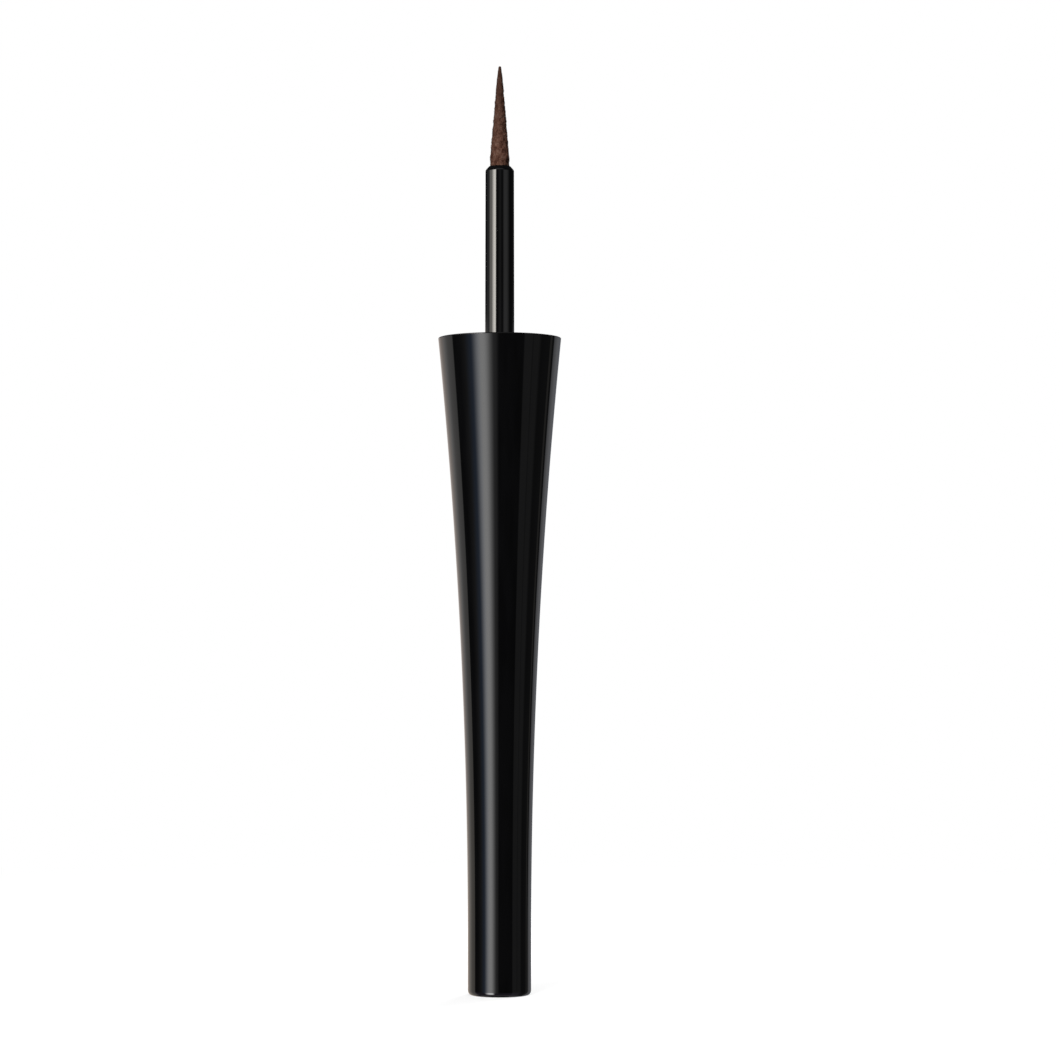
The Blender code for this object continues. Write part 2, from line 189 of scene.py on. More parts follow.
def rounded(corners: Sequence[tuple[float, float, float]], fine: float = ROUNDING_STEP) -> Array:
    """A section through corners, each rounded by an arc that touches both its sides.

    The arc of a corner starts and ends r / tan(half the corner's angle) from it. Its points,
    and the eased ones of the straight sides, are close enough together for smooth shading.

    Args:
        corners: (radius, height, rounding) of each corner in order; the ends aren't rounded.
        fine: the longest step along a rounding.

    Returns:
        Rows of (radius, height).
    """
    places = np.array([(r, z) for r, z, _ in corners])
    chunks = [places[:1]]
    for i in range(1, len(corners) - 1):
        radius = corners[i][2]
        if radius <= TINY:
            chunks.append(places[i : i + 1])
            continue
        back = places[i - 1] - places[i]
        ahead = places[i + 1] - places[i]
        back /= np.linalg.norm(back)
        ahead /= np.linalg.norm(ahead)
        half = np.arccos(np.clip(back @ ahead, -1, 1)) / 2
        middle = back + ahead
        middle /= np.linalg.norm(middle)
        centre = places[i] + middle * radius / np.sin(half)
        begin = places[i] + back * radius / np.tan(half) - centre
        finish = places[i] + ahead * radius / np.tan(half) - centre
        sweep = np.arctan2(begin[0] * finish[1] - begin[1] * finish[0], begin @ finish)
        count = max(LEAST_ARC_STEPS, math.ceil(abs(sweep) * radius / fine))
        angle = np.arctan2(begin[1], begin[0]) + sweep * np.linspace(0, 1, count + 1)
        chunks.append(centre + radius * np.column_stack([np.cos(angle), np.sin(angle)]))
    chunks.append(places[-1:])
    joined = [chunks[0]]
    for before, after in zip(chunks, chunks[1:]):
        joined.append(stretch(before[-1], after[0], STRAIGHT_STEPS)[1:-1])
        joined.append(after)
    return np.concatenate(joined)


def steps_round(around: int) -> Array:
    """Angles of a number of equal steps round the axis, in radians, from zero on."""
    return np.linspace(0, 2 * np.pi, around, endpoint=False)


def turn(section: Array, around: int, shift: Array | None = None, closed: bool = False) -> MeshData:
    """Carry a section round the Z axis: x = r cos a, y = r sin a, with r + shift for the radius.

    Args:
        section: rows of (radius, height), down the outside or up the inside of the piece.
        around: number of steps round the axis.
        shift: what is added to the radius, one row for each section point, one column a step.
        closed: whether the section's last point joins its first, as a washer's does.

    Returns:
        The surface, with a fan of triangles at each end that lies on the axis.
    """
    count = len(section)
    angle = steps_round(around)
    radius, height = (np.repeat(section[:, i : i + 1], around, axis=1) for i in (0, 1))
    if shift is not None:
        radius = radius + shift
    points = np.stack([radius * np.cos(angle), radius * np.sin(angle), height], axis=-1)
    row = np.arange(count if closed else count - 1)[:, None]
    column = np.arange(around)[None, :]
    below = (row + 1) % count
    beside = (column + 1) % around
    corners = ((row, column), (below, column), (below, beside), (row, beside))
    quads = np.stack([level * around + step for level, step in corners], axis=-1)
    first_pole = not closed and section[0, 0] < TINY
    last_pole = not closed and section[-1, 0] < TINY
    quads = quads[int(first_pole) : len(quads) - int(last_pole)].reshape(-1, 4)
    steps = np.arange(around)
    faces = [quads]
    if first_pole:
        ring = around + steps
        faces.append(np.column_stack([np.zeros(around, int), ring, around + (steps + 1) % around]))
    if last_pole:
        start = (count - 2) * around
        pole = np.full(around, (count - 1) * around)
        faces.append(np.column_stack([start + (steps + 1) % around, start + steps, pole]))
    return drop_unused(MeshData(points.reshape(-1, 3), faces))


def drop_unused(data: MeshData) -> MeshData:
    """Leave out the points that no face uses, and number the rest anew.

    A used point's new number is how many used points stand before it.

    Args:
        data: the surface.

    Returns:
        The same faces over the points that they use.
    """
    used = np.zeros(len(data.points), bool)
    for rows in data.faces:
        used[rows.ravel()] = True
    number = np.cumsum(used) - 1
    return MeshData(data.points[used], [number[rows] for rows in data.faces])


def smoothstep(share: Array) -> Array:
    """Ease a share from 0 to 1 in and out: share squared times (3 - 2 share)."""
    return share * share * (3 - 2 * share)


def lattice_noise(u: Array, v: Array, columns: int, rows: int, seed: int) -> Array:
    """Smooth noise from -1 to 1: seeded values at a lattice's corners, blended with smoothstep.

    Args:
        u: place along the lattice's wrapped side, from 0 to 1.
        v: place along its other side, from 0 to 1.
        columns: number of cells round the wrapped side.
        rows: number of cells along the other side.
        seed: seed of the corner values.

    Returns:
        The noise at each place, in the shape that u and v have together.
    """
    values = np.random.default_rng(seed).uniform(-1, 1, (rows + 2, columns))
    x = np.mod(u, 1) * columns
    y = np.clip(v, 0, 1) * rows
    column = np.floor(x).astype(int)
    row = np.floor(y).astype(int)
    fx = smoothstep(x - column)
    fy = smoothstep(y - row)
    near = column % columns
    far = (column + 1) % columns
    low = values[row, near] * (1 - fx) + values[row, far] * fx
    high = values[row + 1, near] * (1 - fx) + values[row + 1, far] * fx
    return low * (1 - fy) + high * fy


def apart_from_nearest(angle: Array, count: int) -> Array:
    """Angle from the nearest of count equal directions, the first at zero, in radians."""
    part = 2 * np.pi / count
    return np.mod(angle + part / 2, part) - part / 2


def soft_pulse(distance: Array, half_width: float, edge: float) -> Array:
    """1 within half_width of zero, falling to 0 over edge with a smoothstep."""
    return 1 - smoothstep(np.clip((np.abs(distance) - half_width) / edge, 0, 1))


# Materials and the world, from nodes

# Where nearly all values of a noise lie
NOISE_RANGE = (0.3, 0.7)
# Numbers of the Mix node's inputs and output that hold its share and its colours
MIX_SHARE, MIX_FIRST, MIX_SECOND = 0, 6, 7
MIX_RESULT = 2


@dataclass(frozen=True)
class Grain:
    """A noise that a finish follows.

    Args:
        size: how far across its lumps are.
        detail: how many finer layers are laid over them.
        rough: how strong each finer layer is, as a share of the one before.
        along: how much the pattern is squeezed along the axis; under 1 stretches it.
    """

    size: float
    detail: float = 2.0
    rough: float = 0.5
    along: float = 1.0


class Curve(Enum):
    """Map Range's names for a smoothstep and for a straight line."""

    SMOOTH = "SMOOTHSTEP"
    LINEAR = "LINEAR"


class Graph:
    """A node tree with short calls that add a node and feed its sockets."""

    def __init__(self, tree: bpy.types.NodeTree) -> None:
        """Start from an empty tree."""
        self.tree = tree
        tree.nodes.clear()

    def add(self, kind: str, feeds: dict[Any, Feed] | None = None, **settings: Any) -> bpy.types.Node:
        """Add a node.

        Args:
            kind: the node's type name.
            feeds: a value or an output socket for each input, by the input's name or number.
            settings: the node's own properties.

        Returns:
            The new node.
        """
        node = self.tree.nodes.new(kind)
        for name, value in settings.items():
            setattr(node, name, value)
        for key, value in (feeds or {}).items():
            socket = node.inputs[key]
            if isinstance(value, Socket):
                self.tree.links.new(value, socket)
            else:
                socket.default_value = (*value, 1.0) if socket.type == "RGBA" else value
        return node

    def math(self, operation: str, *values: Feed) -> Socket:
        """Apply a Math node to values or sockets and return its result."""
        node = self.add("ShaderNodeMath", dict(enumerate(values)), operation=operation)
        return node.outputs[0]

    def ramp(self, value: Feed, span: Range, target: Range, curve: Curve) -> Socket:
        """Map a value from a span to a target, held at both ends.

        Args:
            value: the value or socket.
            span: where the ramp starts and ends.
            target: the results there.
            curve: how it goes from one to the other.

        Returns:
            The mapped value.
        """
        feeds = dict(zip(("Value", "From Min", "From Max", "To Min", "To Max"), (value, *span, *target)))
        node = self.add("ShaderNodeMapRange", feeds, interpolation_type=curve.value)
        return node.outputs["Result"]

    def smooth(self, value: Feed, span: Range, target: Range = (0.0, 1.0)) -> Socket:
        """Map a value from a span to a target with a smoothstep."""
        return self.ramp(value, span, target, Curve.SMOOTH)

    def linear(self, value: Feed, span: Range, target: Range) -> Socket:
        """Map a value from a span to a target in a straight line."""
        return self.ramp(value, span, target, Curve.LINEAR)

    def place(self) -> Socket:
        """Object coordinates, in metres."""
        return self.add("ShaderNodeTexCoord").outputs["Object"]

    def noise(self, grain: Grain) -> Socket:
        """Noise from 0 to 1 at the Object coordinates.

        Args:
            grain: the noise's size and layers.

        Returns:
            The noise's value.
        """
        place = self.place()
        if grain.along != 1.0:
            feeds = {"Vector": place, "Scale": (1, 1, grain.along)}
            place = self.add("ShaderNodeMapping", feeds).outputs["Vector"]
        feeds = {"Vector": place, "Scale": 1 / grain.size, "Detail": grain.detail}
        feeds["Roughness"] = grain.rough
        return self.add("ShaderNodeTexNoise", feeds).outputs[0]

    def blend(self, share: Feed, first: Feed, second: Feed) -> Socket:
        """Mix two colours: first * (1 - share) + second * share."""
        feeds = {MIX_SHARE: share, MIX_FIRST: first, MIX_SECOND: second}
        return self.add("ShaderNodeMix", feeds, data_type="RGBA").outputs[MIX_RESULT]

    def bump(self, height: Feed, rise: float) -> Socket:
        """Normal of a height from 0 to 1 that rises the stated number of metres."""
        feeds = {"Height": height, "Distance": rise, "Strength": 1.0}
        return self.add("ShaderNodeBump", feeds).outputs["Normal"]

    def seen(self) -> Socket:
        """1 where the camera itself looks at the surface or the world, and 0 elsewhere."""
        return self.add("ShaderNodeLightPath").outputs["Is Camera Ray"]

    def mix(self, share: Feed, first: bpy.types.Node, second: bpy.types.Node) -> Socket:
        """Mix two shaders, the second by its share and the first by the rest."""
        feeds = {0: share, 1: first.outputs[0], 2: second.outputs[0]}
        return self.add("ShaderNodeMixShader", feeds).outputs[0]


def new_material(name: str) -> tuple[bpy.types.Material, Graph]:
    """Make a material with an empty node tree.

    Args:
        name: the material's name.

    Returns:
        The material, and the graph that fills its tree.
    """
    material = bpy.data.materials.new(name)
    material.use_nodes = True
    return material, Graph(material.node_tree)


@dataclass(frozen=True)
class Finish:
    """A surface finish: two tones in clouds, and a roughness and a relief that follow noises.

    Args:
        dark: colour where the cloud noise is low.
        light: colour where the cloud noise is high.
        cloud: noise of the colour.
        contrast: values of the cloud noise at which the colour is all dark, and all light.
        polish: roughness where the sheen noise is low, and where it is high.
        sheen: noise of the roughness.
        relief: noise of the relief.
        rise: height of the relief.
        ior: index of refraction.
        specular: strength of the shine, where 0.5 is what the index gives.
        metallic: 1 for a metal.
    """

    dark: Colour
    light: Colour
    cloud: Grain
    contrast: Range
    polish: Range
    sheen: Grain
    relief: Grain
    rise: float
    ior: float = 1.5
    specular: float = 0.5
    metallic: float = 0.0

    def colour(self, graph: Graph) -> Socket:
        """The colour, which goes from dark to light as the cloud noise goes through contrast."""
        share = graph.smooth(graph.noise(self.cloud), self.contrast)
        return graph.blend(share, self.dark, self.light)

    def material(self, name: str) -> bpy.types.Material:
        """Make the material.

        Args:
            name: the material's name.

        Returns:
            A material with one Principled BSDF, fed by the finish's noises and values.
        """
        material, graph = new_material(name)
        feeds = {
            "Base Color": self.colour(graph),
            "Roughness": graph.linear(graph.noise(self.sheen), NOISE_RANGE, self.polish),
            "Normal": graph.bump(graph.noise(self.relief), self.rise),
            "IOR": self.ior,
            "Specular IOR Level": self.specular,
            "Metallic": self.metallic,
        }
        shader = graph.add("ShaderNodeBsdfPrincipled", feeds)
        graph.add("ShaderNodeOutputMaterial", {0: shader.outputs[0]})
        return material


@dataclass(frozen=True)
class GlossPlastic(Finish):
    """Polished black moulded plastic.

    The black is drawn along the axis in faint flow marks. The polish is near a mirror, with
    patches that are a little duller, and a very shallow ripple bends the reflections.
    """

    dark: Colour = (0.0011, 0.0011, 0.0012)
    light: Colour = (0.0019, 0.0019, 0.0021)
    cloud: Grain = Grain(0.0012, 3.0, along=0.12)
    contrast: Range = (0.35, 0.65)
    polish: Range = (0.035, 0.070)
    sheen: Grain = Grain(0.0040, 4.0, 0.6)
    relief: Grain = Grain(0.0030, 1.0)
    rise: float = 0.0000012
    ior: float = 1.49


@dataclass(frozen=True)
class MattPlastic(Finish):
    """Black moulded plastic with faint clouds and the fine pits of a spark-eroded mould."""

    dark: Colour = (0.0080, 0.0080, 0.0085)
    light: Colour = (0.0150, 0.0150, 0.0160)
    cloud: Grain = Grain(0.0020, 4.0, 0.6)
    contrast: Range = (0.35, 0.65)
    polish: Range = (0.34, 0.50)
    sheen: Grain = Grain(0.00012, 3.0, 0.6)
    relief: Grain = sheen
    rise: float = 0.0000030
    ior: float = 1.49


@dataclass(frozen=True)
class SoftRubber(Finish):
    """Soft elastomer: dull, faintly cloudy, with a powdery grain."""

    cloud: Grain = Grain(0.0012, 5.0, 0.65)
    contrast: Range = NOISE_RANGE
    polish: Range = (0.62, 0.80)
    sheen: Grain = Grain(0.00008)
    relief: Grain = sheen
    rise: float = 0.0000040
    specular: float = 0.4


@dataclass(frozen=True)
class TurnedSteel(Finish):
    """Bright steel with the fine rings that turning leaves, and a few dull clouds.

    Args:
        ring_contrast: the same as contrast, for the rings of the relief.
    """

    dark: Colour = (0.36, 0.36, 0.37)
    light: Colour = (0.52, 0.52, 0.53)
    cloud: Grain = Grain(0.0030, 4.0)
    contrast: Range = (0.25, 0.75)
    polish: Range = (0.24, 0.38)
    sheen: Grain = Grain(0.0060, 3.0, along=60.0)
    relief: Grain = sheen
    rise: float = 0.0000025
    metallic: float = 1.0
    ring_contrast: Range = (0.2, 0.8)

    def colour(self, graph: Graph) -> Socket:
        """The colour, whose share of light is the clouds' share times the rings' share.

        Args:
            graph: the material's nodes.

        Returns:
            The colour.
        """
        cloud = graph.smooth(graph.noise(self.cloud), self.contrast)
        rings = graph.smooth(graph.noise(self.relief), self.ring_contrast)
        return graph.blend(graph.math("MULTIPLY", cloud, rings), self.dark, self.light)


@dataclass(frozen=True, kw_only=True)
class BrownFlock(Finish):
    """Short brown fibres: mottled red-brown patches, fine specks, and a darker point.

    Args:
        darkening: heights between which the colour goes over to the point's.
        dim: share of the colours' brightness that is kept.
        middle: colour between the dark patches and the light ones.
        light_contrast: the same as contrast, from the middle colour to the light one.
        point: colour at the point.
        point_share: how much of it is mixed in at the point.
        speck_fade: values of the sheen noise between which a dark speck fades out.
        speck_share: how much of the dark colour is mixed into a speck.
    """

    darkening: Range
    dim: float
    dark: Colour = (0.048, 0.019, 0.012)
    middle: Colour = (0.112, 0.054, 0.037)
    light: Colour = (0.150, 0.088, 0.066)
    point: Colour = (0.044, 0.0225, 0.0155)
    point_share: float = 0.9
    cloud: Grain = Grain(0.00036, 3.0, 0.6, along=0.6)
    contrast: Range = (0.36, 0.50)
    light_contrast: Range = (0.50, 0.68)
    speck_fade: Range = (0.30, 0.58)
    speck_share: float = 0.60
    polish: Range = (0.85, 1.0)
    sheen: Grain = Grain(0.00011)
    relief: Grain = sheen
    rise: float = 0.000016
    specular: float = 0.10

    def tone(self, colour: Colour) -> Colour:
        """The colour, dimmed as the whole finish is."""
        return tuple(channel * self.dim for channel in colour)

    def colour(self, graph: Graph) -> Socket:
        """The colour: dark, middle and light patches, the point's tone, then dark specks.

        Args:
            graph: the material's nodes.

        Returns:
            The colour.
        """
        patch = graph.noise(self.cloud)
        dark = self.tone(self.dark)
        shaded = graph.blend(graph.smooth(patch, self.contrast), dark, self.tone(self.middle))
        lit = graph.blend(graph.smooth(patch, self.light_contrast), shaded, self.tone(self.light))
        height = graph.add("ShaderNodeSeparateXYZ", {0: graph.place()}).outputs["Z"]
        darker = graph.linear(height, self.darkening, (0.0, self.point_share))
        mottled = graph.blend(darker, lit, self.tone(self.point))
        specks = graph.smooth(graph.noise(self.sheen), self.speck_fade, (self.speck_share, 0.0))
        return graph.blend(specks, mottled, dark)


# Pieces


class Piece(ABC):
    """A piece that stands for a CAD node: its mesh, its finish and its seat on the frame."""

    name: str
    node: str
    slot: Slot

    @abstractmethod
    def shape(self) -> MeshData:
        """Work out the piece's surface."""

    @abstractmethod
    def finish(self) -> Finish:
        """Choose the piece's finish."""

    def build(self) -> bpy.types.Object:
        """Make the piece, dress it, and seat it in place of its CAD node.

        Returns:
            The piece's object.
        """
        obj = self.shape().to_object(self.name)
        obj.data.materials.append(self.finish().material(f"{self.name}_finish"))
        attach(obj, BODY)
        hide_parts(self.node)
        log.info("%s: %d faces", self.name, len(obj.data.polygons))
        return obj


@dataclass(frozen=True)
class Heights:
    """Heights, walls and gaps that more than one piece uses, in the order of the assembly.

    The cap's length, the stem's mouth and the point come from the frame. The rest are the
    construction's own sizes.
    """

    cap_top: float
    mouth: float
    point: float
    insert_recess: float = 0.00080
    insert_flange: float = 0.00070
    socket_depth: float = 0.01020
    plate: float = 0.00140
    tail: float = 0.01200
    tail_floor: float = 0.00100
    press_gap: float = 0.00010
    loose_gap: float = 0.00020
    socket_wall: float = 0.00070
    spline_height: float = 0.00015
    insert_wall: float = 0.00060
    thread_depth: float = 0.00045

    @classmethod
    def from_frame(cls) -> Heights:
        """Read the three driving heights from the CAD nodes' boxes."""
        return cls(
            cap_top=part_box("cap_shell")[1].z,
            mouth=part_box("stem")[1].z,
            point=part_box("flocked_tip")[1].z,
        )

    @property
    def insert_top(self) -> float:
        """Height of the insert's upper face."""
        return self.cap_top - self.insert_recess

    @property
    def flange_bottom(self) -> float:
        """Height of the underside of the insert's flange."""
        return self.insert_top - self.insert_flange

    @property
    def plate_top(self) -> float:
        """Height of the plate that the stem's flange sits on."""
        return self.insert_top - self.socket_depth

    @property
    def plate_bottom(self) -> float:
        """Height of the plate's underside."""
        return self.plate_top - self.plate

    @property
    def tail_bottom(self) -> float:
        """Height of the lower end of the insert's tail."""
        return self.plate_bottom - self.tail


@dataclass(frozen=True)
class Flare:
    """The cap's outline: a straight grip, then one arc that is tangent to it and meets the rim."""

    length: float
    rim_radius: float = 0.00710
    grip_radius: float = 0.00363
    grip_length: float = 0.00580

    @property
    def sweep(self) -> float:
        """Radius of the arc, from its height along the axis and the radius's growth over it.

        Returns:
            (height squared + growth squared) / (2 growth).
        """
        height = self.length - self.grip_length
        growth = self.rim_radius - self.grip_radius
        return (height**2 + growth**2) / (2 * growth)

    def radius(self, z: Measure) -> Array:
        """Outer radius at height z: grip radius + sweep - root(sweep squared - rise squared)."""
        rise = np.maximum(np.asarray(z) - self.grip_length, 0)
        return self.grip_radius + self.sweep - np.sqrt(self.sweep**2 - rise**2)


@dataclass
class CapShell(Piece):
    """The flared glossy shell, with its bore, its ribs and the socket for the insert."""

    heights: Heights
    flare: Flare
    name: str = "cap_shell_gloss"
    node: str = "cap_shell"
    slot: Slot = Slot.SHELL
    wall: float = 0.00100
    floor: float = 0.00160
    floor_rounding: float = 0.00030
    floor_step: float = 0.00008
    base_edge: Range = (0.00036, 0.00054)
    rim_edge: float = 0.00010
    rim_land: float = 0.00105
    lead_in: float = 0.00015
    rib_count: int = 4
    rib_thickness: float = 0.00070
    rib_start: float = 0.01800
    rib_lead: float = 0.00150
    rib_blend: float = 0.00012
    around: int = 288
    bore_steps: int = 44
    rim_steps: int = 10
    flank_steps: int = 150
    grip_steps: int = 16
    base_steps: int = 20
    under_steps: int = 12

    @property
    def step(self) -> float:
        """Height of the step where the bore widens into the insert's socket."""
        return self.heights.plate_bottom - self.heights.loose_gap

    @property
    def socket_radius(self) -> float:
        """Radius of the socket that the insert is pressed into."""
        return float(self.flare.radius(self.step)) - self.heights.socket_wall

    @property
    def narrow(self) -> float:
        """Radius of the bore in the grip."""
        return self.flare.grip_radius - self.wall

    @property
    def counterbore(self) -> float:
        """Radius of the recess that takes the insert's flange."""
        return self.flare.rim_radius - self.rim_land

    def inside(self) -> Array:
        """Section of the inside, from the middle of the floor up to the rim's flat.

        The bore keeps the wall's thickness from the flare. The last point lies on the rim's
        flat, three lead-ins out from the counterbore.

        Returns:
            Rows of (radius, height).
        """
        top = self.heights.cap_top
        seat = self.heights.flange_bottom - self.heights.press_gap
        heights = np.linspace(self.flare.grip_length, self.step, self.bore_steps)
        flared = np.column_stack([self.flare.radius(heights) - self.wall, heights])
        floor = [(0, self.floor, 0), (self.narrow, self.floor, self.floor_rounding)]
        low = rounded([*floor, (*flared[0], 0)], self.floor_step)
        high = rounded(
            [
                (*flared[-1], 0),
                (self.socket_radius, self.step, PLAIN_EDGE),
                (self.socket_radius, seat, PLAIN_EDGE),
                (self.counterbore, seat, PLAIN_EDGE),
                (self.counterbore, top - self.lead_in, LIGHT_EDGE),
                (self.counterbore + self.lead_in, top, CRISP_EDGE),
                (self.counterbore + 3 * self.lead_in, top, 0),
            ]
        )
        return np.concatenate([low[:-1], flared, high[1:]])

    def outside(self) -> Array:
        """Section of the outside, over the rim's edge and down the flare to the base.

        The rim's edge is an arc that touches the rim's flat and the flare. The base's edge is
        a quarter of an ellipse, taller than it is wide.

        Returns:
            Rows of (radius, height).
        """
        flare = self.flare
        centre_r = flare.grip_radius + flare.sweep
        edge_z = flare.length - self.rim_edge
        rise = edge_z - flare.grip_length
        edge_r = centre_r - math.sqrt((flare.sweep + self.rim_edge) ** 2 - rise**2)
        top = math.degrees(math.atan2(rise, centre_r - edge_r))
        rim = arc((edge_r, edge_z), self.rim_edge, 90, -top, self.rim_steps)
        angle = np.radians(eased(180 - top, 180, self.flank_steps))
        ring, rise = flare.sweep * np.cos(angle), flare.sweep * np.sin(angle)
        flank = np.column_stack([centre_r + ring, flare.grip_length + rise])
        across, up = self.base_edge
        angle = np.radians(np.linspace(0, 90, self.base_steps + 1))
        ring, rise = across * (1 - np.cos(angle)), up * (1 - np.sin(angle))
        base = np.column_stack([flare.grip_radius - ring, rise])
        grip = stretch(flank[-1], base[0], self.grip_steps)
        under = stretch(base[-1], (0, 0), self.under_steps)
        return np.concatenate([rim, flank[1:], grip[1:-1], base, under[1:]])

    def ribs(self, section: Array, angle: Array) -> Array:
        """How far the ribs move the bore's wall inwards, at each section point and step round.

        A rib fills the bore from its wall to the narrow bore's radius, over its own thickness.

        Args:
            section: rows of (radius, height).
            angle: the steps' angles, in radians.

        Returns:
            What is added to the radius, one row a section point, one column a step.
        """
        radius = section[:, :1]
        height = section[:, 1:]
        top = self.heights.tail_bottom + self.rib_lead
        inner = radius - (self.flare.radius(height) - self.wall)
        on_bore = (np.abs(inner) < TINY) & (height > self.rib_start) & (height < top)
        apart = apart_from_nearest(angle, self.rib_count)[None, :] * radius
        rib = soft_pulse(apart, self.rib_thickness / 2, self.rib_blend)
        return np.where(on_bore, -rib * (radius - self.narrow), 0.0)

    def shape(self) -> MeshData:
        """Turn the inside and the outside together, with the ribs on the bore."""
        section = np.concatenate([self.inside(), self.outside()])
        return turn(section, self.around, self.ribs(section, steps_round(self.around)))

    def finish(self) -> Finish:
        """Polished black plastic."""
        return GlossPlastic()


@dataclass
class ThreadedInsert(Piece):
    """The inner cap: flange, right-handed inner thread, plate, splines and tail."""

    heights: Heights
    socket_radius: float
    counterbore: float
    name: str = "thread_insert_moulded"
    node: str = "thread_insert"
    slot: Slot = Slot.INSERT
    edge: float = 0.00025
    plate_fillet: float = 0.00012
    tail_fillet: float = 0.00020
    spigot_bore: float = 0.00140
    tail_wall: float = 0.00090
    spline_count: int = 12
    spline_width: float = 0.00050
    spline_margin: float = 0.00080
    root_width: float = 0.00120
    crest_width: float = 0.00050
    pitch: float = 0.00200
    turns: float = 2.25
    lead_in: float = 0.00120
    fade_turns: float = 0.17
    around: int = 240
    thread_steps: int = 150

    @property
    def root_radius(self) -> float:
        """Radius of the thread's root: the socket's, less the gap, a spline and the wall."""
        h = self.heights
        return self.socket_radius - h.press_gap - h.spline_height - h.insert_wall

    @property
    def wall_radius(self) -> float:
        """Outer radius of the threaded wall, between the splines."""
        return self.root_radius + self.heights.insert_wall

    def section(self) -> Array:
        """Section from the tail's floor up the inside, over the flange and down the outside.

        Returns:
            Rows of (radius, height), close together where the thread is.
        """
        h = self.heights
        root = self.root_radius
        flange = self.counterbore - h.press_gap
        tail = self.spigot_bore + self.tail_wall
        floor = h.tail_bottom + h.tail_floor
        low = rounded(
            [
                (0, floor, 0),
                (self.spigot_bore, floor, SOFT_EDGE),
                (self.spigot_bore, h.plate_top, SOFT_EDGE),
                (root, h.plate_top, self.plate_fillet),
                (root, h.plate_top + self.edge, 0),
            ]
        )
        heights = np.linspace(h.plate_top + self.edge, h.insert_top - 2 * self.edge, self.thread_steps)
        wall_in = np.column_stack([np.full(self.thread_steps, root), heights])
        high = rounded(
            [
                (*wall_in[-1], 0),
                (root, h.insert_top - self.edge, SOFT_EDGE),
                (root + self.edge, h.insert_top, SOFT_EDGE),
                (flange - self.edge / 2, h.insert_top, LIGHT_EDGE),
                (flange, h.insert_top - self.edge / 2, LIGHT_EDGE),
                (flange, h.flange_bottom, CRISP_EDGE),
                (self.wall_radius, h.flange_bottom, SOFT_EDGE),
                (self.wall_radius, h.plate_bottom + self.edge, LIGHT_EDGE),
                (self.wall_radius - self.edge, h.plate_bottom, LIGHT_EDGE),
                (tail, h.plate_bottom, self.tail_fillet),
                (tail, h.tail_bottom + self.edge, LIGHT_EDGE),
                (tail - self.edge, h.tail_bottom, LIGHT_EDGE),
                (0, h.tail_bottom, 0),
            ]
        )
        return np.concatenate([low[:-1], wall_in, high[1:]])

    def thread(self, section: Array, angle: Array) -> Array:
        """How far the thread stands in from its root, at each section point and step round.

        The ridge's centre climbs one pitch a turn. Its flanks fall in a straight line from the
        crest's width to the root's, and its height fades in and out at the thread's two ends.

        Args:
            section: rows of (radius, height).
            angle: the steps' angles, in radians.

        Returns:
            What is added to the radius, one row a section point, one column a step.
        """
        h = self.heights
        top = h.insert_top - self.lead_in - self.root_width / 2
        bottom = top - self.pitch * self.turns
        height = section[:, 1:]
        turn_share = (angle / (2 * np.pi))[None, :]
        nearest = np.round((height - bottom) / self.pitch - turn_share)
        along = np.clip(nearest + turn_share, 0, self.turns)
        distance = np.abs(height - bottom - along * self.pitch)
        flank = (self.root_width / 2 - distance) / ((self.root_width - self.crest_width) / 2)
        growth = np.clip(np.minimum(along, self.turns - along) / self.fade_turns, 0, 1)
        ridge = np.clip(flank, 0, 1) * growth * h.thread_depth
        on_wall = np.abs(section[:, :1] - self.root_radius) < TINY
        return np.where(on_wall, -ridge, 0.0)

    def splines(self, section: Array, angle: Array) -> Array:
        """How far the splines stand out of the outer wall, at each section point and step round.

        A spline has its full height over its width, and falls off beside it over the press gap.

        Args:
            section: rows of (radius, height).
            angle: the steps' angles, in radians.

        Returns:
            What is added to the radius, one row a section point, one column a step.
        """
        h = self.heights
        wall = self.wall_radius
        low = h.plate_bottom + self.spline_margin
        high = h.flange_bottom - self.spline_margin
        height = section[:, 1:]
        on_wall = (np.abs(section[:, :1] - wall) < TINY) & (height > low) & (height < high)
        apart = apart_from_nearest(angle, self.spline_count)[None, :] * wall
        ridge = soft_pulse(apart, self.spline_width / 2, h.press_gap)
        return np.where(on_wall, ridge * h.spline_height, 0.0)

    def shape(self) -> MeshData:
        """Turn the section, with the thread inside and the splines outside.

        Returns:
            The surface.
        """
        section = self.section()
        angle = steps_round(self.around)
        return turn(section, self.around, self.thread(section, angle) + self.splines(section, angle))

    def finish(self) -> Finish:
        """Matt black plastic."""
        return MattPlastic()


@dataclass
class NeckSeal(Piece):
    """The soft washer at the bottom of the threaded socket."""

    inner: float
    outer: float
    bottom: float
    name: str = "neck_seal_soft"
    node: str = "neck_seal"
    slot: Slot = Slot.SEAL
    thickness: float = 0.00080
    edge: float = 0.00020
    edge_step: float = 0.00004
    around: int = 144

    def shape(self) -> MeshData:
        """Turn a closed section with rounded corners, which starts in the middle of its top.

        Returns:
            The surface.
        """
        top = self.bottom + self.thickness
        middle = (self.inner + self.outer) / 2
        section = rounded(
            [
                (middle, top, 0),
                (self.outer, top, self.edge),
                (self.outer, self.bottom, self.edge),
                (self.inner, self.bottom, self.edge),
                (self.inner, top, self.edge),
                (middle, top, 0),
            ],
            self.edge_step,
        )
        return turn(section[:-1], self.around, closed=True)

    def finish(self) -> Finish:
        """Grey elastomer."""
        return SoftRubber(dark=(0.060, 0.060, 0.066), light=(0.115, 0.115, 0.122))


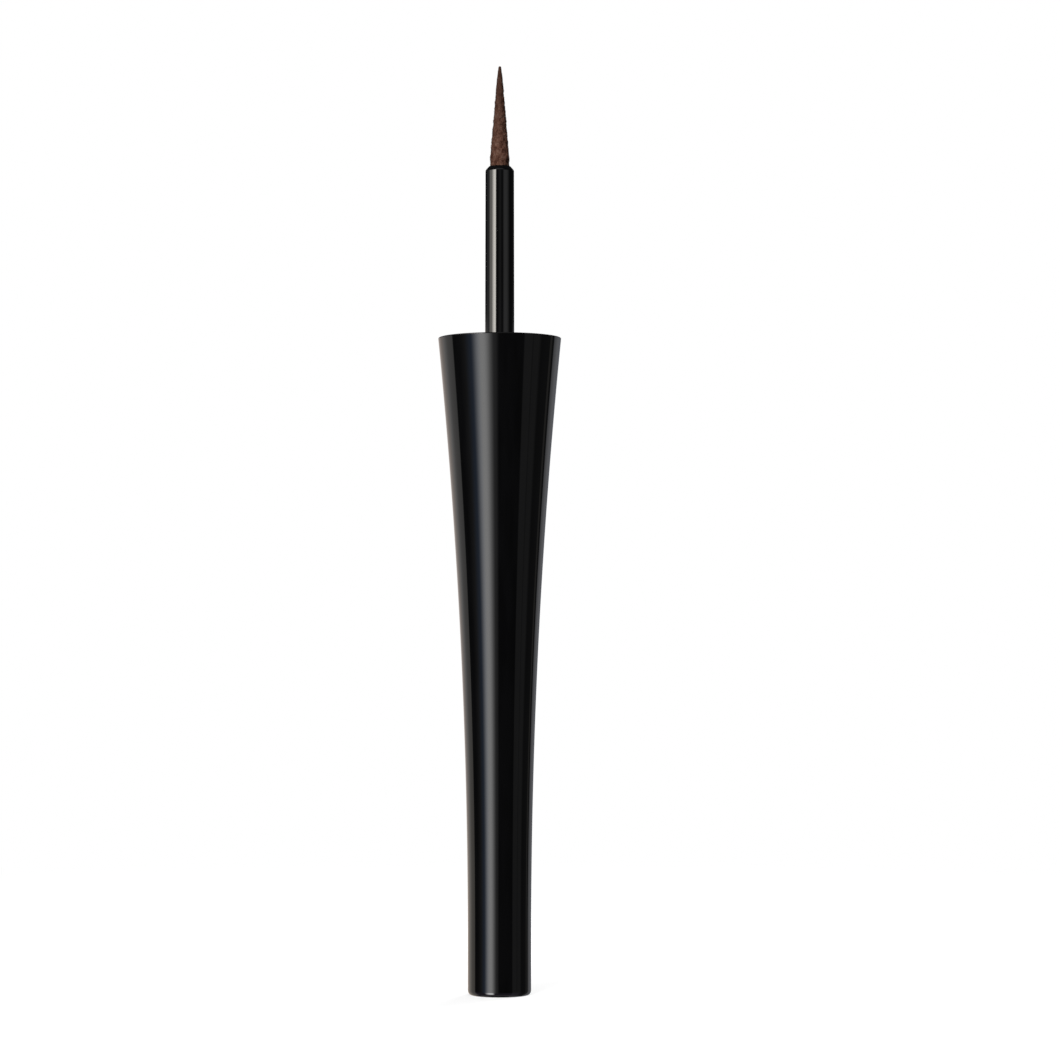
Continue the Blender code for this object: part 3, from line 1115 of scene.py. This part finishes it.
@dataclass
class DipStem(Piece):
    """The glossy rod: mouth and tip socket above, flange and barbed root below."""

    heights: Heights
    flange_radius: float
    tip_socket: float
    shank_bore: float
    name: str = "dip_stem_gloss"
    node: str = "stem"
    slot: Slot = Slot.STEM
    mouth_wall: float = 0.00045
    mouth_land: float = 0.00005
    mouth_chamfer: float = 0.00045
    mouth_blend: float = 0.00036
    draft: float = 0.00005
    fillet: float = 0.00030
    flange_thickness: float = 0.00090
    flange_edge: float = 0.00015
    spigot_radius: float = 0.00120
    spigot_point: float = 0.00040
    barb_count: int = 3
    barb_height: float = 0.00010
    barb_share: float = 0.5
    tip_seat: float = 0.00100
    shank_length: float = 0.00550
    around: int = 144
    rod_steps: int = 60
    fillet_steps: int = 8

    @property
    def flange_bottom(self) -> float:
        """Height of the flange's underside, on the insert's plate."""
        return self.heights.plate_top + self.heights.press_gap

    @property
    def outer(self) -> float:
        """Radius of the rod below its mouth's chamfer."""
        return self.tip_socket + self.mouth_wall

    def socket(self) -> Array:
        """Section of the tip's socket, from its floor up to the mouth.

        Returns:
            Rows of (radius, height).
        """
        h = self.heights
        seat = h.mouth - self.tip_seat - h.press_gap
        floor = seat - self.shank_length - h.press_gap
        return rounded(
            [
                (0, floor, 0),
                (self.shank_bore, floor, PLAIN_EDGE),
                (self.shank_bore, seat, CRISP_EDGE),
                (self.tip_socket, seat, PLAIN_EDGE),
                (self.tip_socket, h.mouth - self.mouth_land, 0),
            ]
        )

    def rod(self) -> Array:
        """Section of the mouth's chamfer and the rod, down to the fillet on the flange.

        The chamfer is blended into a short upright stretch, which ends two chamfers below the
        mouth. From there the rod widens by the draft down to the fillet.

        Returns:
            Rows of (radius, height).
        """
        mouth = self.heights.mouth
        chamfer = rounded(
            [
                (self.tip_socket, mouth - self.mouth_land, 0),
                (self.tip_socket, mouth, KEEN_EDGE),
                (self.tip_socket + self.mouth_land, mouth, FINE_EDGE),
                (self.outer, mouth - self.mouth_chamfer, self.mouth_blend),
                (self.outer, mouth - 2 * self.mouth_chamfer, 0),
            ]
        )[1:]
        low = self.flange_bottom + self.flange_thickness + self.fillet
        centre = (self.outer + self.draft + self.fillet, low)
        foot = arc(centre, self.fillet, 180, 270, self.fillet_steps)
        return np.concatenate([chamfer, stretch(chamfer[-1], foot[0], self.rod_steps)[1:-1], foot])

    def root(self) -> Array:
        """Section of the flange and the barbed spigot, down to the spigot's end.

        The barbs share the spigot's length under the plate with one plain stretch at its end.

        Returns:
            Rows of (radius, height).
        """
        h = self.heights
        low = self.flange_bottom
        top = low + self.flange_thickness
        end = h.tail_bottom + h.tail_floor + h.press_gap
        spigot = self.spigot_radius
        corners = [
            (self.outer + self.draft + self.fillet, top, 0),
            (self.flange_radius - self.flange_edge, top, LIGHT_EDGE),
            (self.flange_radius, top - self.flange_edge, LIGHT_EDGE),
            (self.flange_radius, low, CRISP_EDGE),
            (spigot, low, CRISP_EDGE),
        ]
        pitch = (h.plate_bottom - end) / (self.barb_count + 1)
        for i in range(self.barb_count):
            shoulder = h.plate_bottom - pitch * i
            corners.append((spigot, shoulder, KEEN_EDGE))
            corners.append((spigot + self.barb_height, shoulder, KEEN_EDGE))
            corners.append((spigot, shoulder - pitch * self.barb_share, KEEN_EDGE))
        corners += [
            (spigot, end + self.spigot_point, PLAIN_EDGE),
            (spigot - self.spigot_point, end, PLAIN_EDGE),
            (0, end, 0),
        ]
        return rounded(corners)

    def shape(self) -> MeshData:
        """Turn the socket, the rod and the root as one section."""
        section = np.concatenate([self.socket(), self.rod(), self.root()[1:]])
        return turn(section, self.around)

    def finish(self) -> Finish:
        """Polished black plastic, a touch softer than the cap's."""
        patches, ripple = Grain(0.0020, 4.0, 0.6), Grain(0.0016, 1.0)
        return GlossPlastic(polish=(0.050, 0.090), sheen=patches, relief=ripple)


@dataclass
class FlockedTip(Piece):
    """The lumpy brown body of the flocked point: a short root, then a long cone.

    Args:
        fibre_stand: how much the body is thinner, to leave room for the fibres' ends.
        cap_end: angle from the outward direction at which the rounded end meets the cone.
        tufts: cells round and along of the two layers of tufts, the second half as high.
        specks: cells round and along of the specks.
        full_radii: the radius, in point radii, from which the lumps have their full height.
        least_at_point: the share of it that they keep at the point.
        least_at_mouth: the share that they keep at the stem's mouth and below.
    """

    heights: Heights
    core_radius: float = 0.00045
    core_point: float = 0.00015
    core_cover: float = 0.00420
    name: str = "flocked_tip_body"
    node: str = "flocked_tip"
    slot: Slot = Slot.TIP
    root_radius: float = 0.00110
    point_radius: float = 0.00017
    root_length: float = 0.00130
    seat: float = 0.00100
    fibre_stand: float = 0.000015
    belly: float = 0.00004
    cap_end: float = 8.0
    lump_height: float = 0.000050
    speck_height: float = 0.000024
    tufts: tuple[tuple[int, int], tuple[int, int]] = ((14, 36), (27, 61))
    specks: tuple[int, int] = (56, 118)
    full_radii: float = 4.0
    least_at_point: float = 0.15
    least_at_mouth: float = 0.30
    bore_step: float = 0.00006
    around: int = 176
    cap_steps: int = 12
    cone_steps: int = 250
    seed: int = 11

    def radius(self, z: Measure) -> Array:
        """Radius of the body at height z, without its lumps.

        The cone swells a little near its point: belly times share to the fourth times
        (1 - share), scaled to reach the belly's full height.

        Args:
            z: height, or an array of heights.

        Returns:
            The radius at each height.
        """
        shoulder = self.heights.mouth + self.root_length
        share = (np.asarray(z) - shoulder) / (self.heights.point - self.point_radius - shoulder)
        share = np.maximum(share, 0)
        cone = self.root_radius + (self.point_radius - self.root_radius) * share
        swell = 5**5 / 4**4 * share**4 * np.maximum(1 - share, 0)
        return cone + self.belly * swell - self.fibre_stand

    def outline(self) -> Array:
        """Section of the outside, from the rounded point down to the root's end.

        Returns:
            Rows of (radius, height).
        """
        top = self.heights.point - self.point_radius
        tip = self.point_radius - self.fibre_stand
        cap = arc((0, top), tip, 90, self.cap_end, self.cap_steps)
        heights = np.linspace(top, self.heights.mouth - self.seat, self.cone_steps)
        cone = np.column_stack([self.radius(heights), heights])
        return np.concatenate([cap, cone])

    def lumps(self, angle: Array, z: Array) -> Array:
        """How far the tufts of flock stand out, and the specks of fibre ends on them.

        Two layers of lattice noise for the tufts and one for the specks, which all fade
        towards the point as the radius does, and towards the stem's mouth.

        Args:
            angle: angle round the axis, in radians.
            z: height, in an array that goes with the angle's.

        Returns:
            The distance at each place.
        """
        low = self.heights.mouth - self.seat
        u, v = np.broadcast_arrays(angle / (2 * np.pi), (z - low) / (self.heights.point - low))
        large, small = (lattice_noise(u, v, *cells, self.seed + i) for i, cells in enumerate(self.tufts))
        tufts = (large + small / 2) * self.lump_height
        specks = lattice_noise(u, v, *self.specks, self.seed + 2) * self.speck_height
        share = self.radius(z) / (self.full_radii * self.point_radius)
        fade = np.clip(share, self.least_at_point, 1)
        fade = fade * np.clip((z - self.heights.mouth) / self.seat, self.least_at_mouth, 1)
        return (tufts + specks) * fade

    def shape(self) -> MeshData:
        """Turn the lumpy outside and the smooth blind bore for the core.

        Returns:
            The surface, with no lumps in the bore and none at the point itself.
        """
        h = self.heights
        outline = self.outline()
        gap = h.press_gap
        core_top = h.point - self.core_cover
        bore = rounded(
            [
                (*outline[-1], 0),
                (self.core_radius + gap, outline[-1][1], FINE_EDGE),
                (self.core_radius + gap, h.mouth, SOFT_EDGE),
                (self.core_point + gap, core_top, SOFT_EDGE),
                (0, core_top + self.core_point + gap, 0),
            ],
            self.bore_step,
        )
        section = np.concatenate([outline, bore[1:]])
        shift = self.lumps(steps_round(self.around)[None, :], section[:, 1:])
        shift[len(outline) :] = 0
        shift[0] = 0
        return turn(section, self.around, shift)

    def flock(self, dim: float) -> BrownFlock:
        """The flock's brown, with a share of its brightness kept."""
        start = self.heights.mouth + self.root_length
        return BrownFlock(darkening=(start, self.heights.point), dim=dim)

    def finish(self) -> Finish:
        """Mottled brown flock."""
        return self.flock(1.0)


@dataclass
class FlockFibres(Piece):
    """Thousands of short tapered fibres that stand out of the flocked body.

    Args:
        length: the shortest and the longest, outside the body.
        thickness: the thinnest and the thickest, across the foot.
        sunk: how deep their feet are in the body.
        lean: spread of their slope from the normal.
        slant: slope of the direction that their feet are square to.
        levels: number of heights at which the body's radius is summed.
    """

    tip: FlockedTip
    name: str = "flocked_tip_fibres"
    node: str = "flocked_tip"
    slot: Slot = Slot.TIP
    count: int = 11000
    length: Range = (0.00003, 0.00009)
    thickness: Range = (0.000030, 0.000050)
    sunk: float = 0.00004
    lean: float = 0.55
    slant: float = 0.37
    # Painted shade: the fibres' brown is dimmed so that the tip's edges, where the fibres crowd, look
    # shaded
    dim: float = 0.26
    levels: int = 400
    seed: int = 29

    def roots(self, rng: np.random.Generator) -> tuple[Array, Array, Array]:
        """Place the fibres evenly over the cone's surface.

        The share of fibres below a height is the sum of the radii below it over the whole sum.

        Args:
            rng: the seeded generator.

        Returns:
            Angle round the axis, height, and radius of each fibre's root.
        """
        h = self.tip.heights
        low = h.mouth - self.tip.seat / 2
        high = h.point - self.tip.point_radius / 2
        levels = np.linspace(low, high, self.levels)
        weight = np.cumsum(self.tip.radius(levels))
        height = np.interp(rng.uniform(0, weight[-1], self.count), weight, levels)
        angle = rng.uniform(0, 2 * np.pi, self.count)
        return angle, height, self.tip.radius(height)

    def shape(self) -> MeshData:
        """Make each fibre a closed needle of four triangles, leaning a little from the normal.

        Fibres lean up by a third of the lean's spread on average. Where the radius is under
        two point radii they are shorter in proportion, down to half.

        Returns:
            The surface of all the needles.
        """
        rng = np.random.default_rng(self.seed)
        angle, height, radius = self.roots(rng)
        out = np.column_stack([np.cos(angle), np.sin(angle), np.zeros(self.count)])
        side = np.column_stack([-np.sin(angle), np.cos(angle), np.zeros(self.count)])
        up = np.array([0.0, 0.0, 1.0])
        ways = out + side * rng.normal(0, self.lean, (self.count, 1))
        ways = ways + up * rng.normal(self.lean / 3, self.lean, (self.count, 1))
        ways /= np.linalg.norm(ways, axis=1, keepdims=True)
        length = rng.uniform(*self.length, (self.count, 1))
        near_point = np.clip((radius / self.tip.point_radius)[:, None] / 2, 0.5, 1)
        length = length * near_point
        radius = radius + self.tip.lumps(angle, height)
        foot = out * (radius - self.sunk)[:, None] + up * height[:, None]
        across = np.cross(ways, up + side * self.slant)
        across /= np.linalg.norm(across, axis=1, keepdims=True)
        other = np.cross(ways, across)
        half = rng.uniform(*self.thickness, (self.count, 1)) / 2
        corners = [
            foot + half * (across * math.cos(turn_by) + other * math.sin(turn_by))
            for turn_by in (0, 2 * math.pi / 3, 4 * math.pi / 3)
        ]
        ends = foot + ways * (length + self.sunk)
        points = np.stack([*corners, ends], axis=1).reshape(-1, 3)
        base = 4 * np.arange(self.count)[:, None, None]
        needle = np.array([[0, 2, 1], [0, 1, 3], [1, 2, 3], [2, 0, 3]])[None]
        return MeshData(points, [(base + needle).reshape(-1, 3)])

    def finish(self) -> Finish:
        """A darker brown than the body's: painted shade, which stands in for the shade among the fibres
        along the tip's edges.
        """
        return self.tip.flock(self.dim)


@dataclass
class HiddenCarried:
    """A CAD node that keeps its own mesh, inside the object, and gets a real finish.

    Args:
        node: the CAD node's name.
        finish: its finish.
    """

    node: str
    finish: Finish

    def dress(self) -> None:
        """Put the finish on the node's object."""
        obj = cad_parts[self.node]
        material = self.finish.material(f"{self.node}_finish")
        obj.data.materials.clear()
        obj.data.materials.append(material)
        log.info("%s keeps its mesh, with a new finish", self.node)


# Studio


@dataclass(frozen=True)
class Card:
    """A soft-edged patch of studio light, by where it stands round the object.

    Azimuth 0 is the camera's side and +90 the right-hand side. A card is a product of two
    smoothsteps up and two down, in azimuth and in elevation.

    Args:
        azimuth: where the patch is full, from and to.
        elevation: where the patch is full, from and to.
        strength: its radiance, where 1 shows as white.
        tint: its colour.
        azimuth_soft: how far outside azimuth it fades out, on its left and on its right.
        elevation_soft: how far outside elevation it fades out, below and above.
    """

    azimuth: Range
    elevation: Range
    strength: float
    tint: Colour
    azimuth_soft: Range
    elevation_soft: Range

    def light(self, graph: Graph, azimuth: Socket, elevation: Socket) -> Socket:
        """Add the card's nodes.

        Args:
            graph: the world's nodes.
            azimuth: azimuth of the place that a ray comes from, in degrees.
            elevation: its elevation, in degrees.

        Returns:
            The card's colour times its strength and its share of the place.
        """
        shares = []
        for value, (low, high), (fade_in, fade_out) in (
            (azimuth, self.azimuth, self.azimuth_soft),
            (elevation, self.elevation, self.elevation_soft),
        ):
            rise = graph.smooth(value, (low - fade_in, low))
            fall = graph.smooth(value, (high, high + fade_out), (1.0, 0.0))
            shares.append(graph.math("MULTIPLY", rise, fall))
        colour = tuple(channel * self.strength for channel in self.tint)
        feeds = {0: colour, "Scale": graph.math("MULTIPLY", *shares)}
        return graph.add("ShaderNodeVectorMath", feeds, operation="SCALE").outputs["Vector"]


@dataclass(frozen=True)
class Lamp:
    """A square softbox that lights what is dull, and isn't mirrored in what is polished.

    The cards are what the polished plastic mirrors. The lamps give the floor and the flock
    their light.

    Args:
        name: the lamp's name.
        azimuth: where it stands round the object, as a card's.
        elevation: how high it stands over what it points at, in degrees.
        distance: how far it is from what it points at.
        side: length of its side.
        watts: its power.
    """

    name: str
    azimuth: float
    elevation: float
    distance: float
    side: float
    watts: float

    def hang(self, aim_height: float) -> None:
        """Hang the lamp, pointing at the axis.

        It stands its distance times the elevation's cosine from the axis, and its distance
        times the sine over the place that it points at.

        Args:
            aim_height: height of the place on the axis that it points at.
        """
        data = bpy.data.lights.new(self.name, "AREA")
        data.shape = "SQUARE"
        data.size = self.side
        data.energy = self.watts
        obj = add_object(self.name, data)
        azimuth, elevation = math.radians(self.azimuth), math.radians(self.elevation)
        level = self.distance * math.cos(elevation)
        obj.location = (
            level * math.sin(azimuth),
            -level * math.cos(azimuth),
            aim_height + self.distance * math.sin(elevation),
        )
        obj.rotation_euler = (math.pi / 2 - elevation, 0.0, azimuth)
        obj.visible_camera = False
        obj.visible_glossy = False


# Tints of the cards
NEUTRAL: Colour = (1.0, 1.0, 1.0)
WARM: Colour = (1.0, 0.978, 0.955)
CREAM: Colour = (1.0, 0.960, 0.890)
COOL: Colour = (0.965, 1.0, 1.12)
BLUE: Colour = (0.0, 0.33, 1.0)
VIOLET: Colour = (1.0, 0.80, 1.22)
RUST: Colour = (1.0, 0.65, 0.46)
AMBER: Colour = (1.0, 0.62, 0.05)


@dataclass
class Studio:
    """The photograph's camera, soft surrounding light, a pale floor and softboxes.

    Args:
        aim_height: height on the axis that the lamps point at.
        axis_column: column of the photograph that the object's axis stands in.
        focal_pixels: focal length, in the photograph's pixels.
        pitch: how far the camera is tilted up.
        floor_fade: distances from the axis between which the floor fades to plain white.
        floor_white: share of plain white that it has under the object already.
    """

    aim_height: float
    cards: list[Card]
    lamps: list[Lamp]
    image_side: int = 1063
    axis_column: float = 499.6
    focal_pixels: float = 3152.0
    pitch: float = 2.141
    distance: float = 0.3628
    eye_height: float = 0.0395
    sensor: float = 36.0
    ambient: Colour = (0.034, 0.034, 0.036)
    floor_radius: float = 3.0
    floor_steps: int = 96
    floor_pale: Colour = (0.90, 0.90, 0.90)
    floor_fade: Range = (0.05, 0.22)
    floor_white: float = 0.60

    def camera(self) -> None:
        """Stand the camera where the photograph's was, level with the middle of the cap.

        Its lens is to the sensor as the focal length in pixels is to the image's side. It
        stands aside by the axis's distance from the middle column, scaled the same way.
        """
        aside = (self.image_side / 2 - self.axis_column) * self.distance / self.focal_pixels
        data = bpy.data.cameras.new("photo_camera")
        data.sensor_width = self.sensor
        data.lens = self.sensor * self.focal_pixels / self.image_side
        data.clip_start = self.distance / 100
        data.clip_end = self.distance * 100
        obj = add_object("photo_camera", data)
        obj.location = (aside, -self.distance, self.eye_height)
        obj.rotation_euler = (math.radians(90 + self.pitch), 0.0, 0.0)
        bpy.context.scene.camera = obj

    def surround(self) -> None:
        """Light the world with the cards, and show it white to the camera alone.

        The azimuth that a ray comes from is the arctangent of x over -y, and its elevation is
        the arcsine of z. Diffuse rays don't see the cards.
        """
        world = bpy.data.worlds.new("studio")
        bpy.context.scene.world = world
        world.use_nodes = True
        world.cycles_visibility.diffuse = False
        graph = Graph(world.node_tree)
        way = graph.add("ShaderNodeTexCoord").outputs["Generated"]
        parts = graph.add("ShaderNodeSeparateXYZ", {0: way})
        x, y, z = parts.outputs["X"], parts.outputs["Y"], parts.outputs["Z"]
        backwards = graph.math("MULTIPLY", y, -1.0)
        azimuth = graph.math("DEGREES", graph.math("ARCTAN2", x, backwards))
        elevation = graph.math("DEGREES", graph.math("ARCSINE", z))
        total: Feed = self.ambient
        for card in self.cards:
            feeds = {0: total, 1: card.light(graph, azimuth, elevation)}
            total = graph.add("ShaderNodeVectorMath", feeds, operation="ADD").outputs["Vector"]
        light = graph.add("ShaderNodeBackground", {"Color": total, "Strength": 1.0})
        white = graph.add("ShaderNodeBackground", {"Color": NEUTRAL, "Strength": 1.0})
        graph.add("ShaderNodeOutputWorld", {0: graph.mix(graph.seen(), light, white)})

    def floor(self) -> None:
        """Lay the pale floor, which keeps the contact shadow and fades to white further out.

        Its height is zero everywhere. The polished cap mirrors dark flags below the horizon, so
        the floor is left out of mirror reflections, and dark flags keep it off the flock too.
        """
        section = np.array([(0.0, 0.0), (self.floor_radius, 0.0)])
        obj = turn(section, self.floor_steps).to_object("studio_floor")
        material, graph = new_material("pale_floor")
        pale = graph.add("ShaderNodeBsdfDiffuse", {"Color": self.floor_pale})
        white = graph.add("ShaderNodeEmission", {"Color": NEUTRAL, "Strength": 1.0})
        away = graph.add("ShaderNodeVectorMath", {0: graph.place()}, operation="LENGTH")
        fade = graph.smooth(away.outputs["Value"], self.floor_fade, (self.floor_white, 1.0))
        share = graph.math("MULTIPLY", fade, graph.seen())
        graph.add("ShaderNodeOutputMaterial", {0: graph.mix(share, pale, white)})
        obj.data.materials.append(material)
        obj.visible_glossy = False
        obj.visible_diffuse = False

    def build(self) -> None:
        """Set up the whole studio."""
        bpy.context.scene.view_settings.view_transform = "Standard"
        self.camera()
        self.surround()
        self.floor()
        for lamp in self.lamps:
            lamp.hang(self.aim_height)
        log.info("studio: %d light cards and %d lamps", len(self.cards), len(self.lamps))


def studio_cards() -> list[Card]:
    """The studio's light, as the polished handle and the stem mirror it.

    The flare tilts the handle's mirror image to what stands a little below the horizon. The
    straight stem mirrors what stands a little above it. So the two show different cards.

    Returns:
        The cards, whose light adds up.
    """
    low, low_soft = (-10.0, -1.0), (8.0, 4.0)
    high, high_soft = (4.0, 10.0), (2.0, 8.0)
    level = (-40.0, 5.5)
    return [
        # The handle's broad highlight, with a blue flank on its left
        Card((-34, -32), low, 4.0, NEUTRAL, (23, 22), low_soft),
        Card((-44, -24), low, 0.28, NEUTRAL, (44, 24), low_soft),
        Card((-52, -43), low, 0.30, BLUE, (20, 9), low_soft),
        Card((-14, -8), low, 0.20, NEUTRAL, (6, 8), low_soft),
        # What the handle's base edge mirrors: the same light again, and the floor's glow
        Card((-36, -28), (-30, -14), 11.0, NEUTRAL, (22, 12), (10, 6)),
        Card((-95, 60), (-66, -14), 0.15, VIOLET, (30, 50), (6, 6)),
        Card((-190, 190), (-66, -56), 0.50, NEUTRAL, (4, 4), (6, 12)),
        # The stem's bright stripe, the grey band beside it and its faint left edge
        Card((-43, -33.5), (4, 12), 13.5, CREAM, (24, 6), (2, 12)),
        Card((-74, -60), high, 2.4, CREAM, (24, 10), high_soft),
        Card((-110, -90), high, 0.20, NEUTRAL, (16, 10), high_soft),
        # Faint bands on the right of both
        Card((50, 65), (-40, -2), 0.140, NEUTRAL, (3, 3), (6, 4)),
        Card((69, 79), (-40, -2), 0.130, NEUTRAL, (3, 9), (6, 4)),
        Card((86, 108), (-40, -2), 0.025, NEUTRAL, (6, 6), (6, 4)),
        Card((-5, 8), high, 0.12, NEUTRAL, (8, 10), high_soft),
        Card((40, 52), high, 0.50, NEUTRAL, (18, 38), high_soft),
        # The grey line along the stem's mouth
        Card((-30, 20), (30, 60), 0.45, NEUTRAL, (20, 30), (14, 14)),
        # Grey rims at the handle's two sides
        Card((-190, -101.5), level, 0.48, WARM, (4, 3), (6, 0.6)),
        Card((-190, -101.5), (-40, -1), 0.10, WARM, (4, 3), (6, 4)),
        Card((-190, -101.5), (-40, -5), 0.09, AMBER, (4, 3), (6, 2.5)),
        Card((-190, -145), level, 0.22, RUST, (4, 22), (6, 0.6)),
        Card((-131, -128), level, 0.145, NEUTRAL, (13, 12), (6, 0.6)),
        Card((113, 117), level, 0.13, CREAM, (2, 4), (6, 0.6)),
        Card((129, 190), level, 0.197, COOL, (5, 4), (6, 0.6)),
        Card((129, 141), level, 0.215, NEUTRAL, (5, 20), (6, 0.6)),
    ]


def studio_lamps() -> list[Lamp]:
    """Softboxes overhead for the floor, in front for the flock, and a weaker one behind."""
    return [
        Lamp("overhead_softbox", 0.0, 90.0, 0.80, 0.70, 6.0),
        Lamp("front_softbox", -24.0, 20.0, 0.60, 0.25, 4.5),
        Lamp("rear_softbox", 152.0, 25.0, 0.70, 0.36, 5.6),
    ]


def main() -> None:
    """Build the applicator from the cap up, then the studio."""
    logging.basicConfig(level=logging.INFO, format="%(message)s")
    heights = Heights.from_frame()
    flare = Flare(length=heights.cap_top)
    shell = CapShell(heights, flare)
    insert = ThreadedInsert(
        heights,
        socket_radius=shell.socket_radius,
        counterbore=shell.counterbore,
    )
    tip = FlockedTip(heights)
    stem = DipStem(
        heights,
        flange_radius=insert.root_radius - heights.thread_depth - heights.loose_gap,
        tip_socket=tip.root_radius + heights.press_gap,
        shank_bore=tip.core_radius + heights.press_gap,
    )
    seal = NeckSeal(
        inner=stem.outer + stem.draft + heights.loose_gap,
        outer=insert.root_radius - heights.loose_gap,
        bottom=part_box("neck_seal")[0].z,
    )
    for piece in (shell, insert, seal, stem, tip, FlockFibres(tip)):
        piece.build()
    core = SoftRubber(dark=(0.020, 0.012, 0.009), light=(0.036, 0.022, 0.017))
    HiddenCarried("tip_core", core).dress()
    HiddenCarried("handle_weight", TurnedSteel()).dress()
    Studio(heights.cap_top, studio_cards(), studio_lamps()).build()


if __name__ == "__main__":
    main()
